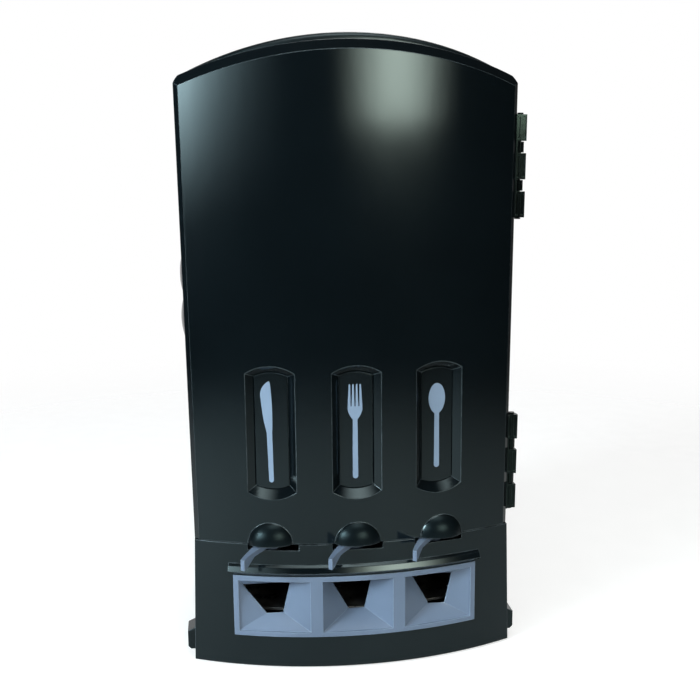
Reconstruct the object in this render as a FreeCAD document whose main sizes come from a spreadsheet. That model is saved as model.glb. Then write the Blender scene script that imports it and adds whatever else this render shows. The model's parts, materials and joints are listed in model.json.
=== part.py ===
"""Three-column cutlery dispenser with finger levers.

Millimetres, +Z up, the front faces -Y and +X is on the right seen from the
front. The origin lies on the floor, midway between the front's crest and the
back. A bowed front, seen in plan, is an arc about a vertical axis behind it.
"""
import FreeCAD, Part
import math
import os
import re

import Sketcher

Vector = FreeCAD.Vector

# Driving sizes: alias, value
SIZES = {
    # Whole body
    "body_width": 330, "waist_width": 320.8, "foot_width": 328.6, "body_depth": 248,
    "front_radius": 393, "base_bottom": 2, "seam_height": 131, "corner_height": 580.5,
    "door_rise": 31.5, "roof_show": 7.2, "wall": 3, "seam_gap": 0.8, "overrun": 20,
    "slip": 0.3, "column_pitch": 83, "round_share": 0.8, "corner_round": 8,
    "corner_bow": 1.5, "half_turn": 180,
    # Door
    "door_depth": 15, "top_bevel": 9.5, "side_bevel": 5,
    # Label pockets, plates and symbols
    "pocket_width": 50, "pocket_start": 53, "pocket_height": 119, "pocket_arch": 7,
    "pocket_depth": 8, "pocket_slope": 8.7, "pan_wall": 2.5, "panel_rise": 6,
    "panel_drop": 4, "panel_arch": 3.5, "plate_thickness": 1.6, "symbol_thickness": 0.5,
    "knife_foot_share": 0.0294, "knife_head_share": 0.9596, "knife_neck_share": 0.4862,
    "knife_belly_share": 0.7982, "knife_axis": -1.2, "knife_grip_width": 4.7,
    "knife_neck_left": 3.65, "knife_neck_right": 1.65, "knife_belly": 8.8,
    "knife_tip_half": 0.45, "knife_tip_drop": 2.1, "knife_back_bow": 1,
    "knife_front_bow": 3.5, "knife_edge_bow": 0.8,
    "fork_foot_share": 0.0578, "fork_head_share": 0.9257, "fork_crown_share": 0.722,
    "fork_root_share": 0.6908, "fork_neck_share": 0.6028, "fork_axis": -1,
    "fork_head_width": 14.4, "fork_tip_width": 12, "tine_root_width": 2.9,
    "tine_tip_width": 1.5, "fork_shoulder_bow": 0.6, "fork_neck_width": 4.7,
    "fork_grip_width": 5.4,
    "spoon_foot_share": 0.1046, "spoon_head_share": 0.8908, "spoon_axis": -0.2,
    "spoon_bowl_width": 17.5, "spoon_bowl_length": 30.2, "spoon_crown_bow": 1,
    "spoon_side_bow": 0.7, "spoon_neck_width": 4.8, "spoon_grip_width": 5.5,
    # Lever hoods on the door
    "hood_width": 49, "hood_height": 23.5, "hood_reach": 10, "hood_wall": 2.2,
    # Base
    "notch_margin": 0.5, "notch_depth": 6, "brow_half_angle": 18.9, "brow_drop": 21,
    "brow_height": 10, "brow_reach": 4.6,
    # Chute bezel
    "bezel_side": 5.05, "bezel_bar": 12.3, "bezel_gap": 2.3, "bezel_height": 63.2,
    "bezel_proud": 1.4, "bezel_lap": 2.2, "recess_foot": 4.5, "recess_head": 5.1,
    "funnel_depth": 14, "funnel_wall": 2, "mouth_foot": 18.8, "mouth_head": 12.2,
    "mouth_low_left": 7.3, "mouth_low_right": 9, "mouth_high_left": 25,
    "knife_mouth_left": 31, "mouth_high_right": 16.4,
    # Feed plate, posts and drive deck
    "feed_thickness": 2.5, "feed_back_gap": 20, "feed_margin": 9, "post_radius": 6,
    "post_inset": 10, "post_setback": 26, "base_plate_thickness": 3, "boss_height": 5.1,
    "deck_thickness": 3, "deck_side_gap": 11.4, "deck_gap": 3, "deck_margin": 1.2,
    "deck_leg": 4,
    # Magazines
    "magazine_gap": 23, "magazine_wall": 2, "magazine_front_gap": 46,
    "magazine_back_gap": 30, "magazine_top_gap": 24.5, "lip_width": 7, "exit_height": 44,
    "pusher_slot_width": 13, "pusher_slot_height": 14,
    # Levers
    "pivot_setback": 20, "hub_radius": 7, "hub_height": 21.9, "lever_drop": 0.5,
    "lever_thickness": 5, "lever_tab_height": 10.5, "lever_root_width": 13,
    "lever_tip_width": 4, "lever_reach": 63, "lever_tab_length": 24, "lever_left_bow": 2.2,
    "lever_right_bow": 3.4, "lever_angle": 29.4, "lever_travel": 60, "crank_radius": 14,
    "crank_thickness": 4, "crank_half_width": 4, "crank_pin_radius": 2.5, "pin_radius": 2.5,
    "bore_clearance": 0.05, "pin_head_radius": 4.2, "pin_head_height": 1.6,
    "boss_radius": 5.5, "spring_gap": 0.5, "spring_wire": 0.6, "spring_pitch": 2.1,
    "spring_turns": 4,
    # Slides and their guides
    "yoke_thickness": 4, "yoke_half_depth": 6.5, "yoke_gap": 2.1, "slot_play": 1.5,
    "slot_end_gap": 0.42, "slot_slack": 0.3, "rail_gap": 8, "rail_width": 6,
    "rail_height": 8, "arm_gap": 9, "arm_depth": 6, "leg_half_width": 6, "foot_rise": 3,
    "foot_height": 7, "foot_half_width": 5, "foot_entry": 1.5, "guide_gap": 26,
    "guide_length": 14, "guide_wall": 2,
    # Cross rails behind the magazines
    "cross_side_gap": 7.4, "cross_height": 34, "lower_cross_rise": 93,
    "upper_cross_drop": 56, "cross_wall": 2,
    # Hinges
    "hinge_length": 100, "upper_hinge_drop": 134.5, "lower_hinge_rise": 13.5,
    "hinge_lead": 2.2, "knuckle_radius": 5.4, "knuckle_slack": 0.4, "knuckle_length": 25.5,
    "lug_radius": 3.5, "lug_reach": 4.6, "lug_slack": 0.6, "hinge_pin_radius": 1.8,
    "leaf_thickness": 1.8, "door_leaf_reach": 8.6, "body_leaf_start": 4.8, "body_leaf_reach": 21,
    "frame_depth": 1.1, "frame_width": 3.4, "frame_border": 2.4, "frame_middle": 2.6,
    "hinge_pin_head": 3, "hinge_pin_head_height": 1.4,
    # Lock and latch
    "latch_rise": 220, "rosette_gap": 0.6, "lock_setback": 24.4, "rosette_radius": 21.3,
    "rosette_height": 3.6, "rosette_rim": 0.8, "core_radius": 8, "core_inner": 12,
    "key_slot_width": 1.8, "key_slot_length": 9, "key_slot_depth": 5, "cam_length": 21,
    "cam_half_width": 4, "cam_thickness": 2.4, "spindle_radius": 4, "coin_slot_width": 2.6,
    "coin_slot_depth": 2.2, "coin_slot_length": 27, "strike_thickness": 2,
    "strike_lead": 8.6, "lug_start": 5.5, "lug_end": 9.5, "lug_low": 8, "lug_high": 20,
    # Side bumpers and mat
    "bumper_reach": 7, "bumper_low": 10, "bumper_high": 29.5, "bumper_top_slope": 5,
    "bumper_bottom_slope": 3, "bumper_lead": 9.1, "bumper_length": 24,
    "mat_screw_gap": 10, "mat_margin": 14, "mat_back_gap": 14,
    # Housing rim, notch and wall holes
    "rim_height": 8.5, "rim_depth": 8, "rim_round": 5, "roof_notch_inset": 38,
    "roof_notch_width": 10, "roof_notch_depth": 6, "roof_notch_length": 4, "wall_hole_radius": 2.75,
    "wall_hole_x": 100, "wall_hole_low": 230, "wall_hole_high": 430,
    # Fasteners
    "screw_radius": 1.9, "screw_head_radius": 3.6, "screw_head_height": 1.7,
    "screw_grip": 6, "hinge_head_radius": 2.3, "hinge_screw_edge": 2.8,
    "hinge_screw_inset": 14,
}

# Values worked out from the driving sizes
RULES = {
    # Whole body
    "arc_y": "front_radius - body_depth / 2",
    "back_y": "body_depth / 2",
    "top_half": "body_width / 2",
    "waist_half": "waist_width / 2",
    "foot_half": "foot_width / 2",
    "door_crown": "corner_height + door_rise",
    "house_crown": "door_crown + roof_show",
    "corner_lift": "2 * corner_round * (house_crown - corner_height) / top_half",
    "door_low": "seam_height + seam_gap",
    "side_lean": "(top_half - waist_half) / (corner_height - seam_height)",
    "foot_lean": "(foot_half - waist_half) / (seam_height - base_bottom)",
    "house_radius": "front_radius - door_depth - seam_gap",
    "house_corner_y": "arc_y - sqrt(house_radius^2 - waist_half^2)",
    "column_angle": "asin(column_pitch / front_radius)",
    "column_face_y": "arc_y - sqrt(front_radius^2 - column_pitch^2)",
    "clear_height": "house_crown + overrun",
    "far_out": "body_width",
    # Label pockets and symbols
    "pocket_low": "seam_height + pocket_start",
    "pocket_high": "pocket_low + pocket_height",
    "panel_width": "pocket_width - 2 * pocket_slope",
    "panel_low": "pocket_low + panel_rise",
    "panel_high": "pocket_high - panel_drop",
    "panel_height": "panel_high - panel_low",
    "knife_low": "panel_low + knife_foot_share * panel_height",
    "knife_high": "panel_low + knife_head_share * panel_height",
    "knife_neck_z": "panel_low + knife_neck_share * panel_height",
    "knife_belly_z": "panel_low + knife_belly_share * panel_height",
    "fork_low": "panel_low + fork_foot_share * panel_height",
    "fork_high": "panel_low + fork_head_share * panel_height",
    "fork_crown_z": "panel_low + fork_crown_share * panel_height",
    "fork_head_z": "panel_low + fork_root_share * panel_height",
    "fork_neck_z": "panel_low + fork_neck_share * panel_height",
    "spoon_low": "panel_low + spoon_foot_share * panel_height",
    "spoon_high": "panel_low + spoon_head_share * panel_height",
    # Base and bezel, hung from the seam
    "notch_width": "hood_width + 2 * notch_margin",
    "brow_high": "seam_height - brow_drop",
    "brow_low": "brow_high - brow_height",
    "recess_width": "column_pitch - bezel_bar",
    "bezel_half_width": "column_pitch + recess_width / 2 + bezel_side",
    "bezel_high": "brow_low - bezel_gap",
    "bezel_low": "bezel_high - bezel_height",
    "recess_low": "bezel_low + recess_foot",
    "recess_high": "bezel_high - recess_head",
    "mouth_low": "bezel_low + mouth_foot",
    "mouth_high": "bezel_high - mouth_head",
    "mouth_plane": "column_face_y + funnel_depth",
    # Magazines, feed plate, posts and deck
    "feed_top": "mouth_low",
    "magazine_half_width": "(column_pitch - magazine_gap) / 2",
    "magazine_front": "magazine_front_gap - back_y",
    "magazine_back": "back_y - magazine_back_gap",
    "magazine_top": "corner_height - magazine_top_gap",
    "deck_half_width": "waist_half - wall - deck_side_gap",
    "feed_half_width": "deck_half_width",
    "feed_back": "back_y - feed_back_gap",
    "post_x": "feed_half_width - post_inset",
    "post_front_y": "magazine_front + post_setback",
    "post_back_y": "magazine_back",
    "deck_back": "magazine_front - deck_gap",
    "deck_top": "hub_low - boss_height",
    "plate_floor": "base_bottom + base_plate_thickness",
    "cross_half_width": "waist_half - wall - cross_side_gap",
    "lower_cross_z": "feed_top + lower_cross_rise",
    "upper_cross_z": "magazine_top - upper_cross_drop",
    # Levers and slides
    "lever_top": "seam_height - lever_drop",
    "hub_low": "lever_top - hub_height",
    "half_travel": "lever_travel / 2",
    "crank_y": "crank_radius * sin(half_travel)",
    "slide_stroke": "2 * crank_y",
    "bore_radius": "pin_radius + bore_clearance",
    "spring_radius": "hub_radius + spring_gap + spring_wire",
    "slide_low": "deck_top + slip",
    "yoke_right": "boss_radius + yoke_gap",
    "slot_left": "crank_radius + crank_pin_radius + slot_play",
    "slot_right": "crank_radius * cos(half_travel) - crank_pin_radius - slot_end_gap",
    "rail_right": "magazine_half_width + rail_gap",
    "rail_left": "rail_right + rail_width",
    "arm_back": "back_y - arm_gap",
    "arm_front": "arm_back - arm_depth",
    "foot_low": "feed_top + foot_rise",
    "foot_high": "foot_low + foot_height",
    "foot_front": "magazine_back - foot_entry",
    "guide_back": "magazine_back - guide_gap",
    "guide_front": "guide_back - guide_length",
    # Hinges, lock, latch and bumpers
    "upper_hinge_low": "corner_height - upper_hinge_drop",
    "lower_hinge_low": "seam_height + lower_hinge_rise",
    "hinge_axis_y": "house_corner_y - hinge_lead",
    "hinge_offset": "knuckle_radius + knuckle_slack",
    "knuckle_gap": "(hinge_length - 3 * knuckle_length) / 2",
    "hinge_bore": "hinge_pin_radius + bore_clearance",
    "latch_z": "seam_height + latch_rise",
    "lock_z": "latch_z + 2 * rosette_radius + rosette_gap",
    "side_lock_y": "house_corner_y + lock_setback",
    "rosette_sphere": "(rosette_radius^2 + rosette_height^2) / (2 * rosette_height)",
    "strike_front": "house_corner_y - strike_lead",
    "lug_front": "side_lock_y + lug_start",
    "lug_back": "side_lock_y + lug_end",
    "bumper_front": "house_corner_y - bumper_lead",
    "mat_half_width": "post_x - mat_screw_gap",
    "mat_back": "back_y - mat_back_gap",
    "roof_notch_x": "roof_notch_inset - top_half",
    "roof_notch_front": "arc_y - sqrt(house_radius^2 - roof_notch_x^2)",
}

# Each column's name, its place in pitches from the middle, and its face
COLUMNS = {
    "knife": ("-column_pitch", "column_face_y", "-column_angle"),
    "fork": ("0 * column_pitch", "-back_y", "0 * column_angle"),
    "spoon": ("column_pitch", "column_face_y", "column_angle"),
}

# Rows of posts under the feed plate
POST_ROWS = (("front", "post_front_y"), ("back", "post_back_y"))

WORD = re.compile(r"[a-z][a-z0-9_]*")
TURN = {
    "XY": FreeCAD.Rotation(),
    "XZ": FreeCAD.Rotation(Vector(1, 0, 0), 90),
    "YZ": FreeCAD.Rotation(Vector(1, 1, 1), 120),
}
PLANE_ROLES = {"XY": "XY_Plane", "XZ": "XZ_Plane", "YZ": "YZ_Plane"}
AXES = {"X": Vector(1, 0, 0), "Y": Vector(0, 1, 0), "Z": Vector(0, 0, 1)}

doc = FreeCAD.newDocument("cutlery_dispenser")
sheet = doc.addObject("Spreadsheet::Sheet", "Size")
nodes = []


def fill_sheet():
    """Write every driving size into the sheet as plain text with its alias."""
    for row, (alias, size) in enumerate(SIZES.items(), start=1):
        sheet.set(f"A{row}", alias)
        sheet.set(f"B{row}", str(size))
        sheet.setAlias(f"B{row}", alias)
    doc.recompute()


def formula(text):
    """Spell out the rules and sheet cells that a formula names."""
    def spell(match):
        word = match.group()
        if word in RULES:
            return "(" + formula(RULES[word]) + ")"
        return "Size." + word if word in SIZES else word
    return WORD.sub(spell, str(text))


def value(text):
    """Present value of a formula, in millimetres or degrees."""
    result = sheet.evalExpression(formula(text))
    return float(getattr(result, "Value", result))


def bind(thing, places):
    """Tie properties of an object to formulas."""
    for path, text in places.items():
        thing.setExpression(path, formula(text))
    return thing


def place(thing, x="0", y="0", z="0", turn=None):
    """Tie an object's place, and its turn about Z, to formulas."""
    places = {"Placement.Base.x": x, "Placement.Base.y": y, "Placement.Base.z": z}
    if turn is not None:
        places["Placement.Rotation.Angle"] = turn
    return bind(thing, places)


def as_node(thing, label):
    """Mark an object as a finished sub-part under its label."""
    thing.Label = label
    nodes.append((label, thing))
    return thing


# Solids from primitives

def box(name, low, high):
    """Box between two corners, each given as three formulas."""
    block = doc.addObject("Part::Box", name)
    sides = [f"({b}) - ({a})" for a, b in zip(low, high)]
    bind(block, dict(zip(("Length", "Width", "Height"), sides)))
    return place(block, *low)


def rod(name, axis, start, radius, length):
    """Cylinder from a start point along an axis."""
    bar = doc.addObject("Part::Cylinder", name)
    turns = {"X": FreeCAD.Rotation(AXES["Y"], 90), "Y": FreeCAD.Rotation(AXES["X"], -90)}
    bar.Placement = FreeCAD.Placement(Vector(), turns.get(axis, FreeCAD.Rotation()))
    bind(bar, {"Radius": radius, "Height": length})
    return place(bar, *start)


def bowed(name, radius):
    """Upright cylinder about the axis of the bowed front."""
    return rod(name, "Z", ("0", "arc_y", "-overrun"), radius, "clear_height + 2 * overrun")


# Solids from outlines

def edge_arc(start, end, rise):
    """Centre, radius and end angles of an arc that swells to the right of its way."""
    chord = end - start
    radius = chord.Length ** 2 / (8 * abs(rise)) + abs(rise) / 2
    right = Vector(chord.y, -chord.x, 0).normalize()
    side = 1 if rise > 0 else -1
    centre = (start + end) / 2 - right * side * (radius - abs(rise))
    first, last = (start, end) if rise > 0 else (end, start)
    angles = [math.atan2(p.y - centre.y, p.x - centre.x) for p in (first, last)]
    return centre, radius, angles


def draw(sketch, outline):
    """Closed outline of (u, v) or (u, v, rise) points, all tied to formulas.

    A rise makes the edge to the next point an arc: positive swells outwards
    on an outline that runs anticlockwise.
    """
    count = len(outline)
    points = [Vector(value(p[0]), value(p[1]), 0) for p in outline]
    ends = []
    for index, corner in enumerate(outline):
        start, end = points[index], points[(index + 1) % count]
        rise = value(corner[2]) if len(corner) > 2 else 0
        if rise:
            centre, radius, angles = edge_arc(start, end, rise)
            circle = Part.Circle(centre, AXES["Z"], radius)
            edge = sketch.addGeometry(Part.ArcOfCircle(circle, *angles), False)
            ends.append((edge, 1, 2) if rise > 0 else (edge, 2, 1))
        else:
            edge = sketch.addGeometry(Part.LineSegment(start, end), False)
            ends.append((edge, 1, 2))
    for index, corner in enumerate(outline):
        edge, first, last = ends[index]
        after, following, _ = ends[(index + 1) % count]
        sketch.addConstraint(Sketcher.Constraint("Coincident", edge, last, after, following))
        for kind, text, size in (("DistanceX", corner[0], points[index].x),
                                 ("DistanceY", corner[1], points[index].y)):
            rule = sketch.addConstraint(Sketcher.Constraint(kind, -1, 1, edge, first, size))
            sketch.setExpression(f"Constraints[{rule}]", formula(text))
        if len(corner) > 2:
            nxt = outline[(index + 1) % count]
            chord = f"((({nxt[0]}) - ({corner[0]}))^2 + (({nxt[1]}) - ({corner[1]}))^2)"
            text = f"abs({chord} / (8 * ({corner[2]})) + ({corner[2]}) / 2)"
            rule = sketch.addConstraint(Sketcher.Constraint("Radius", edge, value(text)))
            sketch.setExpression(f"Constraints[{rule}]", formula(text))
    return sketch


def prism(name, plane, outline, start, end):
    """Outline in a plane, drawn out from start to end across it."""
    sketch = doc.addObject("Sketcher::SketchObject", name + "_outline")
    sketch.Placement = FreeCAD.Placement(Vector(), TURN[plane])
    draw(sketch, outline)
    axis = {"XY": "z", "XZ": "y", "YZ": "x"}[plane]
    bind(sketch, {"Placement.Base." + axis: start})
    solid = doc.addObject("Part::Extrusion", name)
    solid.Base = sketch
    solid.DirMode = "Custom"
    solid.Dir = AXES[axis.upper()]
    solid.Solid = True
    return bind(solid, {"LengthFwd": f"({end}) - ({start})"})


def cut(name, base, *tools):
    """Base without its tools."""
    tool = tools[0] if len(tools) == 1 else join(name + "_tools", *tools)
    solid = doc.addObject("Part::Cut", name)
    solid.Base = base
    solid.Tool = tool
    return solid


def join(name, *parts):
    """All the parts as one solid, or as a group where they don't touch."""
    solid = doc.addObject("Part::MultiFuse", name)
    solid.Shapes = list(parts)
    solid.Refine = True
    return solid


def overlap(name, *parts):
    """What all the parts share."""
    solid = doc.addObject("Part::MultiCommon", name)
    solid.Shapes = list(parts)
    return solid


# Solids from bodies

def new_body(label):
    """Body with its label."""
    body = doc.addObject("PartDesign::Body", label)
    body.Label = label
    return body


def body_sketch(body, plane, outline, height):
    """Outline on one of a body's own planes, moved across it to a height."""
    sketch = body.newObject("Sketcher::SketchObject", body.Name + "_sketch")
    role = PLANE_ROLES[plane]
    support = [f for f in body.Origin.OriginFeatures if f.Role == role][0]
    sketch.AttachmentSupport = (support, [""])
    sketch.MapMode = "FlatFace"
    bind(sketch, {"AttachmentOffset.Base.z": height})
    draw(sketch, outline)
    return sketch


def pad(body, plane, outline, start, end):
    """Add an outline's prism, from start to end along the plane's axis."""
    height = f"-({end})" if plane == "XZ" else start
    feature = body.newObject("PartDesign::Pad", body.Name + "_pad")
    feature.Profile = body_sketch(body, plane, outline, height)
    return bind(feature, {"Length": f"({end}) - ({start})"})


def pocket(body, plane, outline, start, end):
    """Take away an outline's prism, from start to end along the plane's axis."""
    height = f"-({start})" if plane == "XZ" else end
    feature = body.newObject("PartDesign::Pocket", body.Name + "_pocket")
    feature.Profile = body_sketch(body, plane, outline, height)
    return bind(feature, {"Length": f"({end}) - ({start})"})


def bore(body, plane, centre, radius, start, end):
    """Take away a round hole across a plane."""
    height = f"-({start})" if plane == "XZ" else end
    sketch = body_sketch(body, plane, [], height)
    circle(sketch, centre, radius)
    feature = body.newObject("PartDesign::Pocket", body.Name + "_bore")
    feature.Profile = sketch
    return bind(feature, {"Length": f"({end}) - ({start})"})


def circle(sketch, centre, radius):
    """Circle in a sketch, tied to formulas."""
    spot = Vector(value(centre[0]), value(centre[1]), 0)
    ring = sketch.addGeometry(Part.Circle(spot, AXES["Z"], value(radius)), False)
    for kind, text, size in (("DistanceX", centre[0], spot.x), ("DistanceY", centre[1], spot.y)):
        rule = sketch.addConstraint(Sketcher.Constraint(kind, -1, 1, ring, 3, size))
        sketch.setExpression(f"Constraints[{rule}]", formula(text))
    rule = sketch.addConstraint(Sketcher.Constraint("Radius", ring, value(radius)))
    sketch.setExpression(f"Constraints[{rule}]", formula(radius))


def rectangle(left, low, right, high):
    """Outline of a rectangle, anticlockwise."""
    return [(left, low), (right, low), (right, high), (left, high)]


# Outlines of the whole body, seen from the front

def upper_half(height):
    """Half the width between the leaning side walls at a height above the seam."""
    return f"(waist_half + side_lean * (({height}) - seam_height))"


def lower_half(height):
    """Half the width of the flared base at a height below the seam."""
    return f"(foot_half - foot_lean * (({height}) - base_bottom))"


def upper_outline(crown, inset="0", low="door_low"):
    """Door or housing seen from the front: leaning sides under an arch."""
    corner = f"corner_height - ({inset})"
    foot = f"{upper_half(low)} - ({inset})"
    shoulder = f"{upper_half(corner)} - ({inset})"
    rise = f"({crown}) - corner_height"
    return [(f"-({foot})", low), (foot, low), (shoulder, corner, rise),
            (f"-({shoulder})", corner)]


def lower_outline(inset="0", low="base_bottom", high="seam_height"):
    """Base seen from the front: sides that flare towards the floor."""
    foot = f"{lower_half(low)} - ({inset})"
    waist = f"{lower_half(high)} - ({inset})"
    return [(f"-({foot})", low), (foot, low), (waist, high), (f"-({waist})", high)]


def corner_cuts(name):
    """What lies outside the rounding of the two upper corners."""
    edge, top = upper_half("corner_height"), "corner_height"
    outline = [(f"{edge} + 2 * slip", f"{top} - corner_round"),
               (f"{edge} + overrun", f"{top} - corner_round"),
               (f"{edge} + overrun", f"{top} + overrun"),
               (f"{edge} - corner_round", f"{top} + overrun"),
               (f"{edge} - corner_round", f"{top} + corner_lift + 2 * slip", "-corner_bow")]
    right, left = (prism(f"{name}_corner_{side}", "XZ", outline, "-body_depth", "body_depth")
                   for side in ("right", "left"))
    return [right, place(left, turn="half_turn")]


def barrel(half, low, high, arch):
    """Label outline: upright sides, arched above and below."""
    return [(f"-({half})", low, arch), (half, low), (half, high, arch), (f"-({half})", high)]


# Front door

def front_edges(shape, radius):
    """Edges on a bowed face: the ones of its top arch, then of its sides."""
    top, sides = [], []
    for index, edge in enumerate(shape.Edges, start=1):
        middle = edge.valueAt((edge.FirstParameter + edge.LastParameter) / 2)
        on_face = abs(math.hypot(middle.x, middle.y - value("arc_y")) - radius) < value("slip")
        if on_face and middle.z > value("corner_height"):
            top.append(index)
        elif on_face and abs(middle.x) > value("waist_half") / 2:
            sides.append(index)
    return top, sides


def bevelled(name, base, radius, top_size, side_size):
    """Door block with its front rim bevelled."""
    doc.recompute()
    top, sides = front_edges(base.Shape, value(radius))
    solid = doc.addObject("Part::Chamfer", name)
    solid.Base = base
    solid.Edges = ([(index, value(top_size), value(top_size)) for index in top]
                   + [(index, value(side_size), value(side_size)) for index in sides])
    return solid


def door_shell():
    """Bowed shell with a bevelled rim: the outer block and the hollow behind it."""
    outline = prism("door_front_view", "XZ", upper_outline("door_crown"), "-body_depth", "0")
    block = cut("door_block", overlap("door_solid", outline, bowed("door_face", "front_radius")),
                bowed("door_rear", "front_radius - door_depth"))
    outer = bevelled("door_outer", block, "front_radius", "top_bevel", "side_bevel")
    inner_view = prism("door_inner_view", "XZ",
                       upper_outline("door_crown", "wall", "door_low + wall"),
                       "-body_depth", "0")
    hollow = overlap("door_hollow", inner_view, bowed("door_inner", "front_radius - wall"))
    corner_loss = "wall * (2 - sqrt(2))"
    inner = bevelled("door_cavity", hollow, "front_radius - wall",
                     f"top_bevel - {corner_loss}", f"side_bevel - {corner_loss}")
    return outer, inner


def tapered(name, front, rear, front_depth, rear_depth):
    """Loft between two barrel outlines at depths behind the bowed face's crest."""
    loft = doc.addObject("Part::Loft", name)
    sections = []
    for index, (outline, depth) in enumerate(((front, front_depth), (rear, rear_depth))):
        sketch = doc.addObject("Sketcher::SketchObject", f"{name}_section_{index}")
        sketch.Placement = FreeCAD.Placement(Vector(), TURN["XZ"])
        draw(sketch, outline)
        bind(sketch, {"Placement.Base.y": f"({depth}) - front_radius"})
        sections.append(sketch)
    loft.Sections = sections
    loft.Solid = True
    loft.Ruled = True
    return loft


def pocket_tool(name, turn):
    """Space of one label pocket, narrowing to its floor."""
    front = barrel("pocket_width / 2", "pocket_low", "pocket_high", "pocket_arch")
    rear = barrel("panel_width / 2", "panel_low", "panel_high", "panel_arch")
    depth = "pocket_depth"
    sink = tapered(name + "_sink", front, rear, "0", depth)
    mouth = prism(name + "_mouth", "XZ", front, "-front_radius - overrun", "-front_radius")
    return place(join(name, sink, mouth), "0", "arc_y", "0", turn)


def pocket_pan(name, turn):
    """Walls round one label pocket, standing into the door."""
    front = barrel("pocket_width / 2 + pan_wall", "pocket_low - pan_wall",
                   "pocket_high + pan_wall", "pocket_arch")
    rear = barrel("panel_width / 2 + pan_wall", "panel_low - pan_wall",
                  "panel_high + pan_wall", "panel_arch")
    depth = "pocket_depth + pan_wall"
    return place(tapered(name, front, rear, "wall / 2", depth), "0", "arc_y", "0", turn)


def hood_ball(name, x, face_y, inset):
    """Ellipsoid of a lever hood, or of the space under it."""
    ball = doc.addObject("Part::Ellipsoid", name)
    bind(ball, {"Radius1": f"hood_height - ({inset})", "Radius2": f"hood_width / 2 - ({inset})",
                "Radius3": f"(hood_height + hood_reach) / 2 - ({inset})"})
    middle = f"({face_y}) + (hood_height - hood_reach) / 2"
    return place(ball, x, middle, "door_low")


def front_door():
    """Door shell with label pockets and lever hoods."""
    outer, inner = door_shell()
    shell = cut("door_shell", outer, inner)
    pans, pockets, hoods, spaces = [], [], [], []
    above = box("hood_room", ("-far_out", "-body_depth", "door_low"),
                ("far_out", "0", "seam_height + 2 * hood_height"))
    behind = bowed("hood_back", "front_radius - wall")
    for column, (x, face_y, turn) in COLUMNS.items():
        pans.append(pocket_pan(f"pan_{column}", turn))
        pockets.append(pocket_tool(f"pocket_{column}", turn))
        hoods.append(hood_ball(f"hood_{column}", x, face_y, "0"))
        spaces.append(hood_ball(f"hood_space_{column}", x, face_y, "hood_wall"))
    proud = cut("door_hoods", overlap("hoods_above", join("hoods", *hoods), above), behind)
    walls = overlap("door_pans", join("pans", *pans), outer)
    return as_node(cut("front_door", join("door_full", shell, walls, proud),
                       *pockets, *spaces, *hinge_holes("door"), *corner_cuts("door")),
                   "front_door")


def window_plate(column, turn):
    """Label plate that lies on a pocket's floor."""
    outline = barrel("panel_width / 2 - slip", "panel_low + slip", "panel_high - slip",
                     "panel_arch")
    rear = "pocket_depth - front_radius"
    name = f"window_plate_{column}"
    plate = prism(name, "XZ", outline, f"{rear} - plate_thickness", rear)
    return as_node(place(plate, "0", "arc_y", "0", turn), name)


def symbol_prism(name, outline):
    """Flat symbol piece on the front of a label plate."""
    rear = "pocket_depth - front_radius - plate_thickness"
    return prism(name, "XZ", outline, f"{rear} - symbol_thickness", rear)


def handle(name, axis, low, grip_width, neck_width, high):
    """Handle of a symbol, round at its lower end."""
    grip, neck = f"{grip_width} / 2", f"{neck_width} / 2"
    corner = f"{low} + {grip} * round_share"
    return symbol_prism(name, [(f"{axis} - {grip}", corner, f"{grip} * round_share"),
                               (f"{axis} + {grip}", corner), (f"{axis} + {neck}", high),
                               (f"{axis} - {neck}", high)])


def knife_symbol():
    """Table knife: grip below, blade with a curved cutting edge above."""
    axis, grip = "knife_axis", "knife_grip_width / 2"
    corner = f"knife_low + {grip} * round_share"
    return symbol_prism("knife_shape", [
        (f"{axis} - {grip}", corner, f"{grip} * round_share"), (f"{axis} + {grip}", corner),
        (f"{axis} + knife_neck_right", "knife_neck_z", "knife_back_bow"),
        (f"{axis} + knife_tip_half", "knife_high - knife_tip_drop"),
        (f"{axis} - knife_tip_half", "knife_high", "knife_front_bow"),
        (f"{axis} - knife_belly", "knife_belly_z", "knife_edge_bow"),
        (f"{axis} - knife_neck_left", "knife_neck_z")])


def fork_tine(index):
    """One tapered tine of the fork, counted from the left."""
    share = index / 3 - 1 / 2
    root = f"fork_axis + {share} * (fork_head_width - tine_root_width)"
    tip = f"fork_axis + {share} * (fork_tip_width - tine_tip_width)"
    root_half, tip_half = "tine_root_width / 2", "tine_tip_width / 2"
    return symbol_prism(f"fork_tine_{index}", [
        (f"{root} - {root_half}", "fork_head_z"), (f"{root} + {root_half}", "fork_head_z"),
        (f"{root} + {root_half}", "fork_crown_z"),
        (f"{tip} + {tip_half}", f"fork_high - {tip_half}", f"{tip_half} * round_share"),
        (f"{tip} - {tip_half}", f"fork_high - {tip_half}"),
        (f"{root} - {root_half}", "fork_crown_z")])


def fork_symbol():
    """Table fork: grip, shoulders and four tines."""
    axis, half, neck = "fork_axis", "fork_head_width / 2", "fork_neck_width / 2"
    head = [(f"{axis} - {neck}", "fork_neck_z"),
            (f"{axis} + {neck}", "fork_neck_z", "fork_shoulder_bow"),
            (f"{axis} + {half}", "fork_head_z"), (f"{axis} + {half}", "fork_crown_z"),
            (f"{axis} - {half}", "fork_crown_z"),
            (f"{axis} - {half}", "fork_head_z", "fork_shoulder_bow")]
    grip = handle("fork_handle", axis, "fork_low", "fork_grip_width", "fork_neck_width",
                  "fork_neck_z")
    return join("fork_shape", grip, symbol_prism("fork_head", head),
                *[fork_tine(index) for index in range(4)])


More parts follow.
